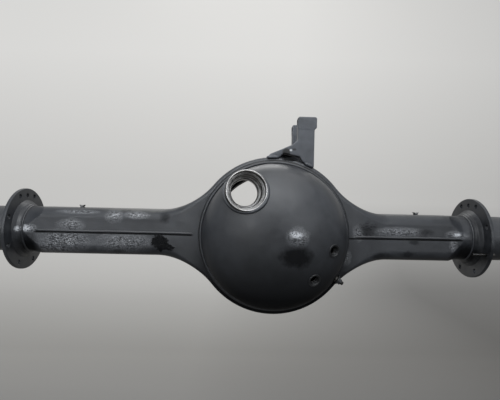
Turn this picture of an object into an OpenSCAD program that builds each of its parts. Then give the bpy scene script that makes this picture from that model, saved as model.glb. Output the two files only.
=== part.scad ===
// Banjo axle housing of a through-drive truck axle, in millimetres.
// The frame's origin is the centre of the carrier face: +Y points forward, out of that face,
// X runs along the axle and Z is up. The wheel axis lies carrier_face_y behind the origin.

/* [Axle] */
// Distance between the inner faces of the two brake flanges
flange_spacing = 1330; // [1250:5:1450]
// Sideways offset of the bowl's centre from the middle of the flanges
bowl_offset = 67; // [0:1:100]
// Distance from the wheel axis forward to the carrier face
carrier_face_y = 104; // [98:1:115]

/* [Half shells] */
// Outer radius of the bowl
bowl_r = 226; // [224:1:235]
// Radius of the concave sweep from the bowl into an arm
sweep_r = 210; // [150:5:260]
// Outside height and depth of the square arms, and diameter of their round ends
arm_size = 133; // [126:1:140]
// Depth of the bowl from its rear face to its front face
bowl_depth = 156; // [150:1:170]
// Thickness of the pressed plate
wall = 12; // [9:0.5:16]
// Corner radius of the arms
arm_corner_r = 28; // [18:1:40]
// Rounding of the bowl's front and rear edges
bowl_edge_r = 11; // [8:0.5:13]
// Ledge of the rear opening inside the rear cover's wall
rear_ledge = 3.5; // [1:0.5:8]
// Step of the front opening outside the carrier ring's bore
front_step = 4; // [2:0.5:8]
// Length over which a square arm turns round at its end
round_len = 40; // [30:5:110]
// Plain round length at the end of an arm
round_end = 2; // [1:1:15]

/* [Rear cover] */
// Flat left between the cover's weld and the bowl's rounded edge
cover_gap = 3; // [2:0.5:6]
// Height of the cover above the rear face
cover_h = 139; // [130:1:150]
// Straight height of the cover above its foot
cover_foot_h = 14; // [10:1:20]
// Radius of the rounding between the cover's side and its crown
cover_knuckle_r = 95; // [80:1:110]
// Thickness of the cover
cover_wall = 9; // [6:0.5:10]
// Width of the weld bead round the foot
cover_weld_w = 7.5; // [4:0.5:8]

/* [Output bearing ring] */
// Angle of the ring round the cover, from +X
output_angle = 123.3; // [100:0.1:140]
// How far the ring stands out past the cover's side
output_overhang = 0.1; // [-4:0.1:6]
// Upward tilt of the ring's axis towards its face, in degrees
output_tilt_up = 4.4; // [0:0.1:6]
// Sideways tilt of the ring's axis towards its face, in degrees
output_tilt_side = 4.6; // [0:0.1:6]
// Distance from the wheel axis back to the ring's face
output_face = 204; // [203:1:212]
// Length of the ring
output_len = 85; // [70:1:88]
// Outer diameter of the ring
output_od = 110; // [108:1:116]
// Diameter of the seal bore at the face
output_seal_d = 100; // [96:0.5:102]
// Depth of the seal bore
output_seal_h = 24; // [15:1:30]
// Diameter of the bearing bore behind it
output_bearing_d = 85; // [80:0.5:90]
// Depth of the bearing bore
output_bearing_h = 38; // [30:1:42]
// Diameter of the clear hole at the inner end
output_clear_d = 73; // [66:1:76]

/* [Carrier ring] */
// Flat left between the ring's weld and the bowl's rounded edge
ring_gap = 2; // [1:0.5:5]
// Width of the carrier ring between its bore and its rim
ring_w = 28; // [24:1:36]
// Number of threaded holes
ring_bolts = 16; // [10:1:20]
// Diameter of a threaded hole
ring_bolt_d = 14; // [10:0.5:15]
// Depth of a threaded hole
ring_bolt_h = 19; // [14:1:19]
// Width of the weld bead round the ring
ring_weld_w = 5; // [3:0.5:5.5]

/* [Brake flanges] */
// Outer diameter of a flange
flange_d = 240; // [230:1:255]
// Thickness of a flange
flange_t = 10; // [8:1:14]
// Distance of the flange's inner face outboard of the hub's middle
plate_out = 6; // [4:0.5:8]
// Distance of the bolt holes' centres in from the flange's edge
flange_bolt_inset = 16.5; // [12:0.5:18]
// Number of evenly spaced bolt holes
flange_bolts = 8; // [6:1:10]
// Diameter of a bolt hole
flange_bolt_d = 13.5; // [10:0.5:14]
// Distance of the single top hole in from the bolt circle
top_hole_in = 5; // [4:0.5:6]
// Outer diameter of the hub ring
hub_d = 150; // [146:1:160]
// Length of the hub ring inboard of its middle
hub_len = 14; // [10:1:24]
// Outer diameter of the step at the hub's foot
hub_step_d = 166; // [162:1:176]
// Height of that step
hub_step_h = 3; // [2:0.5:6]
// Leg of the weld between hub and spindle
hub_weld = 4.5; // [3:0.5:6]

/* [Spindles] */
// Length of plain spindle inboard of a flange's inner face
spindle_in = 40; // [34:1:60]
// Length of the full-size base outboard of that face
spindle_base_len = 100; // [80:1:120]
// Diameter of the seal journal
seal_d = 124; // [110:0.5:125]
// Length of the seal journal
seal_len = 28; // [20:1:40]
// Diameter of the inner bearing journal
inner_journal_d = 95.25; // [90:0.05:100]
// Length of the inner bearing journal
inner_journal_len = 58; // [45:1:70]
// Length of the taper between the journals
taper_len = 62; // [40:1:90]
// Diameter of the outer bearing journal
outer_journal_d = 82.55; // [80:0.05:88]
// Length of the outer bearing journal
outer_journal_len = 46; // [35:1:60]
// Diameter of the threaded end
thread_d = 79; // [76:0.5:79.5]
// Length of the threaded end
thread_len = 44; // [30:1:60]
// Diameter of the bore for the axle shaft
shaft_bore_d = 61; // [52:0.5:64]
// Width of the keyway in the threaded end
keyway_w = 10; // [6:0.5:14]
// Depth of the keyway
keyway_h = 4.5; // [3:0.5:6]

/* [Torque rod bracket] */
// Distance between the two ears' bolt holes
ear_spacing = 128; // [122:1:130]
// Thickness of an ear
ear_t = 28; // [22:1:28]
// Height of the head of an ear
ear_head_h = 36; // [30:1:40]
// Thickness of the head of an ear, front to rear
ear_head_t = 32; // [29:0.5:34]
// Width of the head of an ear
ear_head_w = 55; // [50:1:60]
// Diameter of the bolt hole through a head
ear_bolt_d = 21; // [16:0.5:23]
// Height of the bolt holes above the top of the bowl
ear_rise = 99; // [88:1:115]
// Sideways place of the heads' middle
ear_x = 89; // [86:1:92]
// Width of an ear's post
ear_post_w = 48; // [44:1:50]
// Height of the sloping web's upper end above the top of the bowl
web_top_rise = 36; // [30:1:45]
// Height of the sloping web's lower end above the top of the bowl
web_low_rise = 8.5; // [6:0.5:14]
// Width of the sloping web beside the posts
web_w = 77.5; // [60:0.5:90]
// Thickness of the sloping web between the ears
web_t = 10; // [7:0.5:12]
// Width of the arch under an ear
arch_w = 67.4; // [50:0.2:70]

/* [Bosses, tab and clips] */
// Outer diameter of the two threaded bosses in the cover
boss_d = 36; // [32:1:42]
// Diameter of the thread in them
boss_thread_d = 24; // [18:0.5:27]
// Length of a boss
boss_len = 18; // [14:1:22]
// How far a boss stands out of the cover
boss_proud = 1; // [0.8:0.1:3]
// Distance of the fill boss from the cover's centre, as a share of its radius
fill_share = 0.754; // [0.6:0.002:0.76]
// Angle of the fill boss round the cover, from +X
fill_angle = -10.5; // [-20:0.25:20]
// Distance of the sensor boss from the cover's centre, as a share of its radius
sensor_share = 0.714; // [0.6:0.002:0.76]
// Angle of the sensor boss round the cover, from +X
sensor_angle = -46.5; // [-80:0.5:-40]
// Angle of the hose tab round the bowl, from +X
tab_angle = -33.5; // [-50:0.5:-25]
// Width of the hose tab
tab_w = 24; // [20:1:30]
// Thickness of the hose tab
tab_t = 5; // [4:0.5:6]
// Height of the tab's bolt above the rear face
tab_bolt_h = 21; // [19:0.5:22]
// Diameter of the tab's bolt
tab_bolt_d = 10; // [8:0.5:10]
// Width across the flats of the tab's bolt head and nut
tab_hex = 16; // [14:0.5:17]
// Distance of a hose clip inboard of its flange
clip_from_flange = 158; // [140:1:200]
// Width of a hose clip
clip_w = 15; // [12:1:20]
// Height of a hose clip
clip_h = 8; // [7:0.5:12]
// Diameter of the stud in the right flange
stud_d = 8; // [6:0.5:10]
// Length of that stud inboard of the flange
stud_len = 33; // [20:1:40]

/* [Seam welds] */
// Height of a seam bead's face
seam_w = 7; // [4:0.5:10]
// Thickness of a seam bead
seam_t = 2.5; // [1.5:0.5:4]
// Distance of a seam bead's outer end from the flange face
seam_from_flange = 46; // [46:1:100]
// Distance of a seam bead's inner end from the bowl's centre
seam_from_bowl = 232; // [222:1:260]

/* [Hidden] */
$fn = 96;

fit = 0.1;           // radial clearance of pieces set into one another
half_depth = bowl_depth / 2;
arm_half = arm_size / 2;
flat_r = bowl_r - bowl_edge_r;   // rim of the bowl's flat faces
cover_r = flat_r - cover_gap - cover_weld_w;
rear_open_r = cover_r - cover_wall - rear_ledge;
ring_rim_r = flat_r - ring_gap - ring_weld_w;
ring_bore_r = ring_rim_r - ring_w;
ring_bolt_r = (ring_bore_r + ring_rim_r) / 2;
front_open_r = ring_bore_r + front_step;
flange_bolt_r = flange_d / 2 - flange_bolt_inset;
left_face = flange_spacing / 2 + bowl_offset;
right_face = flange_spacing / 2 - bowl_offset;
left_end = left_face - spindle_in;
right_end = right_face - spindle_in;
paint = [0.17, 0.17, 0.18];
weld_paint = [0.13, 0.13, 0.14];
bare_steel = [0.62, 0.62, 0.60];

// Half shells

sweep_x = sqrt(pow(bowl_r + sweep_r, 2) - pow(arm_half + sweep_r, 2));
flat_x = flat_r + 1;
corner_steps = 6;

function smooth(t) = let (u = min(max(t, 0), 1)) u * u * (3 - 2 * u);

// Half height of the housing's rear outline at x, drawn in by e
function half_height(x, e) =
    let (a = abs(x), r = bowl_r - e, s = sweep_r + e, touch = sweep_x * r / (r + s))
    a <= touch ? sqrt(r * r - a * a)
    : a < sweep_x ? arm_half + sweep_r - sqrt(s * s - pow(sweep_x - a, 2))
    : arm_half - e;

// How far x is from the bowl (0) into the arm (1), and along the arm's rounded end
function arm_share(x) = smooth((abs(x) - flat_x) / (sweep_x - flat_x));
function end_share(x) =
    let (end = x < 0 ? left_end : right_end)
    min(max((abs(x) - end + round_end + round_len) / round_len, 0), 1);

function depth_at(x) = half_depth + (arm_half - half_depth) * arm_share(x);
function corner_at(x) =
    let (box = bowl_edge_r + (arm_corner_r - bowl_edge_r) * arm_share(x))
    box + (arm_half - 1 - box) * end_share(x);

function opening(x, r) = abs(x) < r ? sqrt(r * r - x * x) : 0;

// One section across the shell from the rear edge over the top to the front edge, drawn in by e
function section(x, e) =
    let (d = depth_at(x) - e, c = max(corner_at(x) - e, 3),
         bend = [for (i = [0:corner_steps]) let (t = 90 - 90 * i / corner_steps)
                 [d - c + c * sin(t), half_height(x, e + c * (1 - cos(t)))]],
         last = corner_steps)
    concat([[x, -d, opening(x, rear_open_r)]],
           [for (p = bend) [x, -p[0], p[1]]],
           [for (i = [0:last]) [x, bend[last - i][0], bend[last - i][1]]],
           [[x, d, opening(x, front_open_r)]]);

function bowl_stations() = [for (t = [-90:7.5:90]) rear_open_r * sin(t)];
function sweep_stations() =
    [for (i = [1:9]) rear_open_r + (sweep_x - rear_open_r) * pow(i / 9, 1.2)];
function arm_stations(end) =
    concat([for (i = [0:4]) end - round_end - round_len * (1 - i / 4)], [end]);
function side_stations(end) = concat(sweep_stations(), arm_stations(end));
function reversed(v) = [for (i = [len(v) - 1:-1:0]) v[i]];
function stations() = concat([for (x = reversed(side_stations(left_end))) -x], bowl_stations(),
                             side_stations(right_end));

module half_shell() {
    xs = stations();
    outer = [for (x = xs) section(x, 0)];
    inner = [for (x = xs) section(x, wall)];
    n = len(xs);
    m = len(outer[0]);
    function out(i, j) = i * m + j;
    function inn(i, j) = n * m + i * m + j;
    function quad(a, b, c, d) = [[a, b, c], [a, c, d]];
    skin = [for (i = [0:n - 2], j = [0:m - 2])
            each concat(quad(out(i, j), out(i, j + 1), out(i + 1, j + 1), out(i + 1, j)),
                        quad(inn(i, j), inn(i + 1, j), inn(i + 1, j + 1), inn(i, j + 1)))];
    rims = [for (i = [0:n - 2])
            each concat(quad(out(i, 0), out(i + 1, 0), inn(i + 1, 0), inn(i, 0)),
                        quad(out(i + 1, m - 1), out(i, m - 1), inn(i, m - 1), inn(i + 1, m - 1)))];
    ends = [for (j = [0:m - 2])
            each concat(quad(out(0, j + 1), out(0, j), inn(0, j), inn(0, j + 1)),
                        quad(out(n - 1, j), out(n - 1, j + 1), inn(n - 1, j + 1), inn(n - 1, j)))];
    polyhedron(points = concat([for (s = outer) each s], [for (s = inner) each s]),
               faces = concat(skin, rims, ends));
}

module in_frame() {
    translate([0, -carrier_face_y, 0]) children();
}

module upper_half_shell() {
    color(paint) in_frame() half_shell();
}

module lower_half_shell() {
    color(paint) in_frame() mirror([0, 0, 1]) half_shell();
}

// Turned about the fore-and-aft axis: local z runs back from the rear face, or forward of the front face
module behind_bowl() {
    translate([0, -half_depth, 0]) rotate([90, 0, 0]) children();
}

module before_bowl() {
    translate([0, half_depth, 0]) rotate([-90, 0, 0]) children();
}

// Rear cover

// Crown radius that meets the knuckle smoothly, and the height of the crown's centre
function crown_r(r, h, k) =
    (pow(r - k, 2) + pow(h - cover_foot_h, 2) - k * k) / (2 * (h - cover_foot_h - k));
cover_crown_r = crown_r(cover_r, cover_h, cover_knuckle_r);
crown_z = cover_h - cover_crown_r;

// Half outline of the dome, drawn in by e
module dome_half(e) {
    knuckle = [cover_r - cover_knuckle_r, cover_foot_h];
    away = (knuckle - [0, crown_z]) * 2;
    intersection() {
        union() {
            square([cover_r - e, cover_foot_h]);
            translate(knuckle) circle(cover_knuckle_r - e);
            intersection() {
                translate([0, crown_z]) circle(cover_crown_r - e);
                polygon([[0, crown_z], [0, crown_z] + away, [0, crown_z + away[1]]]);
            }
            polygon([[0, 0], knuckle, [0, crown_z]]);
            square(knuckle);
        }
        square([cover_r, cover_h]);
    }
}

module dome_solid(e) {
    rotate_extrude() dome_half(e);
}

// Place of a boss on the crown: local z is the crown's outward normal, 0 at its surface
module on_crown(share, angle) {
    translate([0, 0, crown_z])
        rotate([0, asin(share * cover_r / cover_crown_r), angle])
        translate([0, 0, cover_crown_r])
        children();
}

module at_fill() {
    on_crown(fill_share, fill_angle) children();
}

module at_sensor() {
    on_crown(sensor_share, sensor_angle) children();
}

module boss_seat() {
    cylinder(d = boss_d + 2 * fit, h = 4 * boss_len, center = true);
}

output_h = output_face - half_depth;   // height of the ring's face above the rear face
output_r = cover_r + output_overhang - output_od / 2;

// Place of the ring: local z runs from its inner end to its face
module at_output() {
    translate([output_r * cos(output_angle), output_r * sin(output_angle), output_h])
        rotate([-output_tilt_up, output_tilt_side, 0])
        translate([0, 0, -output_len])
        children();
}

// The cover is one pressing, drawn here as sectors that meet face to face
module cover_sector(start, span) {
    color(paint) in_frame() behind_bowl() difference() {
        rotate([0, 0, start]) rotate_extrude(angle = span) difference() {
            dome_half(0);
            translate([0, -0.01]) dome_half(cover_wall);
            square([cover_r - cover_wall, 0.02]);
        }
        at_output() cylinder(d = output_od + 2 * fit, h = 2 * output_len);
        at_fill() boss_seat();
        at_sensor() boss_seat();
    }
}

module rear_cover_upper_right() {
    cover_sector(0, 90);
}

module rear_cover_upper_left() {
    cover_sector(90, 90);
}

module rear_cover_lower_left() {
    cover_sector(180, 90);
}

module rear_cover_bottom_right() {
    cover_sector(270, 30);
}

module rear_cover_lower_right() {
    cover_sector(300, 30);
}

module rear_cover_right() {
    cover_sector(330, 30);
}

// Ring of weld metal in the corner between a wall of radius r and a face: w wide, h high, bulged
module corner_bead(r, w, h) {
    rotate_extrude()
        polygon([[r, 0], [r + w, 0], [r + 0.8 * w, 0.45 * h], [r + 0.45 * w, 0.8 * h], [r, h]]);
}

module cover_weld() {
    color(weld_paint) in_frame() behind_bowl() corner_bead(cover_r, cover_weld_w, 8);
}

module output_bearing_ring() {
    seal = output_seal_d / 2;
    bearing = output_bearing_d / 2;
    rim = output_od / 2;
    color(bare_steel) in_frame() behind_bowl() at_output() rotate_extrude()
        polygon([[output_clear_d / 2, 0], [rim, 0], [rim, output_len - 6], [rim - 2, output_len - 4],
                 [rim - 2, output_len - 0.8], [rim - 2.8, output_len], [seal + 1, output_len],
                 [seal, output_len - 1], [seal, output_len - output_seal_h],
                 [bearing, output_len - output_seal_h],
                 [bearing, output_len - output_seal_h - output_bearing_h],
                 [output_clear_d / 2, output_len - output_seal_h - output_bearing_h]]);
}

// Carrier ring

ring_h = carrier_face_y - half_depth;

module carrier_ring() {
    color(bare_steel) in_frame() before_bowl() difference() {
        rotate_extrude()
            polygon([[ring_bore_r, 0], [ring_rim_r, 0], [ring_rim_r, ring_h - 1.5],
                     [ring_rim_r - 1.5, ring_h], [ring_bore_r + 2, ring_h], [ring_bore_r, ring_h - 2]]);
        for (i = [0:ring_bolts - 1])
            rotate([0, 0, (i + 0.5) * 360 / ring_bolts]) translate([ring_bolt_r, 0, ring_h - ring_bolt_h])
                cylinder(d = ring_bolt_d, h = ring_bolt_h + 1);
    }
}

module carrier_ring_weld() {
    color(weld_paint) in_frame() before_bowl() corner_bead(ring_rim_r, ring_weld_w, 7);
}

// Wheel ends: local z runs outboard from the flange's inner face, and local -x is up

module left_side() {
    in_frame() translate([-left_face, 0, 0]) mirror([1, 0, 0]) rotate([0, 90, 0]) children();
}

module right_side() {
    in_frame() translate([right_face, 0, 0]) rotate([0, 90, 0]) children();
}

seal_start = spindle_base_len + 4;
inner_start = seal_start + seal_len;
taper_start = inner_start + inner_journal_len;
outer_start = taper_start + taper_len;
thread_start = outer_start + outer_journal_len + 4;
spindle_end = thread_start + thread_len;

module spindle() {
    bore = shaft_bore_d / 2;
    inner_j = inner_journal_d / 2;
    outer_j = outer_journal_d / 2;
    thread = thread_d / 2;
    difference() {
        rotate_extrude()
            polygon([[arm_half - wall, -spindle_in], [arm_half, -spindle_in], [arm_half, spindle_base_len],
                     [seal_d / 2, seal_start], [seal_d / 2, inner_start - 3], [seal_d / 2 - 3, inner_start],
                     [inner_j + 2, inner_start], [inner_j, inner_start + 2], [inner_j, taper_start],
                     [inner_j - 1, taper_start + 1], [outer_j + 1, outer_start - 4], [outer_j, outer_start],
                     [outer_j, thread_start - 4], [thread - 2, thread_start - 3],
                     [thread - 2, thread_start - 1], [thread, thread_start + 1], [thread, spindle_end - 2],
                     [thread - 2, spindle_end], [bore + 3, spindle_end], [bore, spindle_end - 3],
                     [bore, -spindle_in + 45]]);
        translate([-thread - 1, -keyway_w / 2, thread_start + 2])
            cube([keyway_h + 1, keyway_w, thread_len]);
    }
}

module left_spindle() {
    color(paint) left_side() spindle();
}

module right_spindle() {
    color(paint) right_side() spindle();
}

// Turn of the right flange's stud from the top, towards the rear
stud_place = 2;
stud_turn = (stud_place + 0.5) * 360 / flange_bolts;

module brake_flange(with_stud) {
    bore = arm_half + fit;
    rim = flange_d / 2;
    step = plate_out - hub_step_h;
    outer_face = plate_out + flange_t;
    difference() {
        rotate_extrude()
            polygon([[bore, -hub_len], [hub_d / 2 - 3, -hub_len], [hub_d / 2, 3 - hub_len], [hub_d / 2, step],
                     [hub_step_d / 2 - 1, step], [hub_step_d / 2, step + 1], [hub_step_d / 2, plate_out],
                     [rim - 1.5, plate_out], [rim, plate_out + 1.5], [rim, outer_face - 1.5],
                     [rim - 1.5, outer_face], [bore, outer_face]]);
        for (i = [0:flange_bolts - 1])
            rotate([0, 0, (i + 0.5) * 360 / flange_bolts])
                flange_hole(flange_bolt_r, with_stud && i == stud_place ? stud_d + 2 * fit : flange_bolt_d);
        flange_hole(flange_bolt_r - top_hole_in, flange_bolt_d);
    }
}

module flange_hole(r, d) {
    translate([-r, 0, plate_out - 1]) cylinder(d = d, h = flange_t + 2);
}

module left_brake_flange() {
    color(paint) left_side() brake_flange(false);
}

module right_brake_flange() {
    color(paint) right_side() brake_flange(true);
}

module flange_weld() {
    translate([0, 0, -hub_len]) mirror([0, 0, 1]) corner_bead(arm_half, hub_weld, hub_weld);
}

module left_flange_weld() {
    color(weld_paint) left_side() flange_weld();
}

module right_flange_weld() {
    color(weld_paint) right_side() flange_weld();
}

// The stud fills the small hole just below the middle on the rear side
module flange_stud() {
    out = plate_out + flange_t + 14;
    color(bare_steel) right_side() rotate([0, 0, stud_turn]) translate([-flange_bolt_r, 0, 0])
        rotate_extrude()
        polygon([[0, -stud_len], [stud_d / 2 - 1, -stud_len], [stud_d / 2, 1 - stud_len],
                 [stud_d / 2, out - 1], [stud_d / 2 - 1, out], [0, out]]);
}

// Seam welds, each a strip on the middle of an arm's rear or front face

module seam_weld(sign_x, face) {
    inner = max(seam_from_bowl, flat_x + 2);
    outer = face - seam_from_flange;
    inside = [for (x = stations()) if (x * sign_x > inner && x * sign_x < outer) abs(x)];
    xs = sign_x > 0 ? inside : reversed(inside);
    // depth of the shell between its sections
    along = concat([inner], xs, [outer]);
    function shell_y(a) = lookup(a, [for (x = stations()) if (x * sign_x > 0) [abs(x), depth_at(x)]]);
    bottom = [for (a = along) [sign_x * a, -shell_y(a)]];
    taper = 4;
    top = concat([[sign_x * (outer - taper), -shell_y(outer) - seam_t]],
                 [for (a = reversed(xs)) if (a > inner + taper && a < outer - taper)
                  [sign_x * a, -shell_y(a) - seam_t]],
                 [[sign_x * (inner + taper), -shell_y(inner + taper) - seam_t]]);
    translate([0, 0, -seam_w / 2]) linear_extrude(seam_w) polygon(concat(bottom, top));
}

module left_rear_seam_weld() {
    color(weld_paint) in_frame() seam_weld(-1, left_face);
}

module right_rear_seam_weld() {
    color(weld_paint) in_frame() seam_weld(1, right_face);
}

module left_front_seam_weld() {
    color(weld_paint) in_frame() mirror([0, 1, 0]) seam_weld(-1, left_face);
}

module right_front_seam_weld() {
    color(weld_paint) in_frame() mirror([0, 1, 0]) seam_weld(1, right_face);
}

// Torque rod bracket: outlines are drawn in x and z, and local z of an extrusion runs to the rear

post_right = ear_x + ear_post_w / 2 - 3;
post_left = post_right - ear_post_w;
ear_bolt_z = bowl_r + ear_rise;
slope_top = [post_left - web_w * 0.2, bowl_r + web_top_rise];
slope_low = [post_left - web_w, bowl_r + web_low_rise];
toe = [post_left - web_w * 1.16, bowl_r - web_low_rise * 0.35];
arch_right = post_left + ear_post_w * 0.36;
arch_left = arch_right - arch_w;
web_drop = [0.4, -0.9] * web_t;
inside_bowl = bowl_r * 0.8;   // the feet start inside the bowl and are cut off at its surface

module ear_outline() {
    difference() {
        polygon([[toe[0], inside_bowl], toe, slope_low, slope_top,
                 [post_left, slope_top[1] + web_w * 0.17], [post_left, ear_bolt_z],
                 [post_right, ear_bolt_z], [post_right, inside_bowl]]);
        polygon([[arch_left, inside_bowl], [arch_left, bowl_r],
                 [arch_left + arch_w * 0.14, bowl_r + arch_w * 0.16],
                 [arch_right - arch_w * 0.155, bowl_r + arch_w * 0.03],
                 [arch_right, bowl_r - arch_w * 0.24], [arch_right, inside_bowl]]);
    }
}

module upright(t) {
    rotate([90, 0, 0]) linear_extrude(t, center = true) children();
}

module ear_head() {
    w = ear_head_w / 2;
    h = ear_head_h / 2;
    c = ear_head_h * 0.14;
    translate([ear_x, 0, ear_bolt_z]) upright(ear_head_t)
        polygon([[-w, -h + c], [-w + c, -h], [w - c, -h], [w, -h + c], [w, h - c], [w - 0.3 * c, h - 0.3 * c],
                 [w - c, h], [-w + c, h], [-w + 0.3 * c, h - 0.3 * c], [-w, h - c]]);
}

module torque_rod_bracket() {
    color(paint) in_frame() difference() {
        union() {
            for (side = [-1, 1]) translate([0, side * ear_spacing / 2, 0]) {
                upright(ear_t) ear_outline();
                ear_head();
            }
            upright(ear_spacing - ear_t + 2)
                polygon([slope_low, slope_top, [post_right - 8, slope_top[1]],
                         [post_right - 8, slope_top[1] - web_t], slope_top + [2, -web_t],
                         slope_low + web_drop]);
        }
        rotate([90, 0, 0]) cylinder(r = bowl_r, h = 3 * bowl_depth, center = true, $fn = 180);
        for (side = [-1, 1])
            translate([ear_x, side * ear_spacing / 2, ear_bolt_z]) rotate([0, 90, 0])
                cylinder(d = ear_bolt_d, h = 2 * ear_head_w, center = true);
    }
}

// Bead between an ear's outer face and the bowl's rounded edge, turned about the fore-and-aft axis
ear_face = ear_spacing / 2 + ear_t / 2;

module ear_bead(x0, x1) {
    a0 = acos(x1 / bowl_r);
    a1 = acos(x0 / bowl_r);
    c = bowl_edge_r;
    round_r = bowl_r - c;
    inner_y = half_depth - c;
    gap = 0.4;
    rotate([90, 0, 0]) rotate([0, 0, a0]) rotate_extrude(angle = a1 - a0)
        polygon(concat([[bowl_r + 7, ear_face + gap / 4], [bowl_r + gap, ear_face + gap / 4]],
                       [for (t = [60:10:90]) [round_r + (c + gap) * cos(t), inner_y + (c + gap) * sin(t)]],
                       [[round_r + 1, half_depth + 3], [bowl_r, half_depth + 5.5]]));
}

module bracket_rear_weld() {
    color(weld_paint) in_frame() {
        ear_bead(toe[0] + 1, arch_left - 2);
        ear_bead(arch_right + 2, post_right - 1);
    }
}

module bracket_front_weld() {
    color(weld_paint) in_frame() mirror([0, 1, 0]) {
        ear_bead(toe[0] + 1, arch_left - 2);
        ear_bead(arch_right + 2, post_right - 1);
    }
}

// Hose clips: forked strips standing on the arms

module hose_clip(x) {
    w = clip_w / 2;
    s = 2.5;
    translate([x, 0, arm_half]) upright(14)
        polygon([[-w * 0.6, 0], [w * 0.6, 0], [w * 0.6, s], [w * 0.45, s], [w, clip_h], [w - s, clip_h],
                 [0, s * 1.6], [s - w, clip_h], [-w, clip_h], [-w * 0.45, s], [-w * 0.6, s]]);
}

module left_hose_clip() {
    color(weld_paint) in_frame() hose_clip(clip_from_flange - left_face);
}

module right_hose_clip() {
    color(weld_paint) in_frame() hose_clip(right_face - clip_from_flange);
}

// Threaded bosses in the cover

module cover_boss() {
    translate([0, 0, boss_proud - boss_len]) rotate_extrude()
        polygon([[boss_thread_d / 2, 0], [boss_d / 2, 0], [boss_d / 2, boss_len - 1],
                 [boss_d / 2 - 1, boss_len], [boss_thread_d / 2 + 1.5, boss_len],
                 [boss_thread_d / 2, boss_len - 1.5]]);
}

module fill_boss() {
    color(paint) in_frame() behind_bowl() at_fill() cover_boss();
}

module sensor_boss() {
    color(paint) in_frame() behind_bowl() at_sensor() cover_boss();
}

// Hose tab: local x runs outward from the bowl's centre, local z to the rear

tab_r = cover_r + cover_weld_w + 0.4;

module at_tab() {
    in_frame() behind_bowl() rotate([0, 0, tab_angle]) translate([tab_r, 0, 0]) children();
}

module along_tab_bolt() {
    at_tab() translate([0, 0, tab_bolt_h]) rotate([0, 90, 0]) children();
}

module hose_tab() {
    color(weld_paint) at_tab() difference() {
        union() {
            translate([0, -tab_w / 2, 0]) cube([tab_t, tab_w, tab_bolt_h]);
            translate([0, 0, tab_bolt_h]) rotate([0, 90, 0]) cylinder(d = tab_w, h = tab_t);
        }
        translate([-1, 0, tab_bolt_h]) rotate([0, 90, 0]) cylinder(d = tab_bolt_d + 2 * fit, h = tab_t + 2);
    }
}

tab_hex_d = tab_hex / cos(30);

module tab_bolt() {
    color(bare_steel) along_tab_bolt() {
        translate([0, 0, -6]) cylinder(d = tab_hex_d, h = 6, $fn = 6);
        cylinder(d = tab_bolt_d, h = tab_t + 16);
    }
}

module tab_nut() {
    color(weld_paint) along_tab_bolt() translate([0, 0, tab_t]) difference() {
        cylinder(d = tab_hex_d, h = 8, $fn = 6);
        translate([0, 0, -1]) cylinder(d = tab_bolt_d + 2 * fit, h = 10);
    }
}

upper_half_shell();
lower_half_shell();
rear_cover_upper_right();
rear_cover_upper_left();
rear_cover_lower_left();
rear_cover_bottom_right();
rear_cover_lower_right();
rear_cover_right();
cover_weld();
output_bearing_ring();
carrier_ring();
carrier_ring_weld();
left_spindle();
right_spindle();
left_brake_flange();
right_brake_flange();
left_flange_weld();
right_flange_weld();
left_rear_seam_weld();
right_rear_seam_weld();
left_front_seam_weld();
right_front_seam_weld();
torque_rod_bracket();
bracket_rear_weld();
bracket_front_weld();
left_hose_clip();
right_hose_clip();
fill_boss();
sensor_boss();
hose_tab();
tab_bolt();
tab_nut();
flange_stud();
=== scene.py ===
import math

import bmesh
import bpy
import numpy as np
from mathutils import Matrix, Vector


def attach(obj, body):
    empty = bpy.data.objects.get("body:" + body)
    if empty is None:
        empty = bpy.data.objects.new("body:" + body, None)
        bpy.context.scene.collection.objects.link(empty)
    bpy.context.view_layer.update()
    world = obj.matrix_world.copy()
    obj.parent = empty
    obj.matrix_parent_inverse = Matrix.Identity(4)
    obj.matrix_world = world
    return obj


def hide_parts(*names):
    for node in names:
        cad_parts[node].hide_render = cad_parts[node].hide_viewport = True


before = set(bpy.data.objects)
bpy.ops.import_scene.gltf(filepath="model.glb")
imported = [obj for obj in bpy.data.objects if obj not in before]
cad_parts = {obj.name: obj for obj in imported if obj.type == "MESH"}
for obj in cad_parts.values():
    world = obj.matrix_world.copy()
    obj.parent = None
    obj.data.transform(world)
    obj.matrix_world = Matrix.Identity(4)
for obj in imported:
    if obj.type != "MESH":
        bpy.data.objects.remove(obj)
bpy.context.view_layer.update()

# Sizes of the housing in millimetres, in the frame of the carrier face
MM = 0.001
AXIS_Y = -104.0
BOWL_R, SWEEP_R, ARM_HALF = 226.0, 210.0, 66.5
HALF_DEPTH, WALL = 78.0, 12.0
ARM_CORNER, BOWL_EDGE = 28.0, 11.0
REAR_OPEN, FRONT_OPEN = 192.0, 184.0
LEFT_FACE, RIGHT_FACE, SPINDLE_BASE = 732.0, 598.0, 16.0
# How an arm is turned down to its round end: straight length, slope, curve, and the length cut in fine sections
LEFT_TURN, RIGHT_TURN = (3, 0.12, 0.004, 60), (27, 0.16, 0.0065, 76)
COVER_R, COVER_H, COVER_FOOT, KNUCKLE_R, COVER_WALL = 204.5, 139.0, 14.0, 95.0, 9.0
CROWN_R = ((COVER_R - KNUCKLE_R) ** 2 + (COVER_H - COVER_FOOT) ** 2 - KNUCKLE_R ** 2) / (
    2 * (COVER_H - COVER_FOOT - KNUCKLE_R))
CROWN_Z = COVER_H - CROWN_R
KNUCKLE_TILT = math.atan2(COVER_FOOT - CROWN_Z, COVER_R - KNUCKLE_R)
BOSS_SEAT = 18.1
OUTPUT_R, OUTPUT_ANGLE, OUTPUT_LEN, OUTPUT_OD = 149.6, math.radians(123.3), 85.0, 110.0
OUTPUT_H = 204.0 - HALF_DEPTH
OUTPUT_TILT = math.radians(4.6), math.radians(-4.4)
RING_BORE, RING_RIM, RING_H = 180.0, 208.0, 26.0
RING_HOLES, RING_HOLE_R, RING_BOLT_R = 16, 7.0, 194.0
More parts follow.
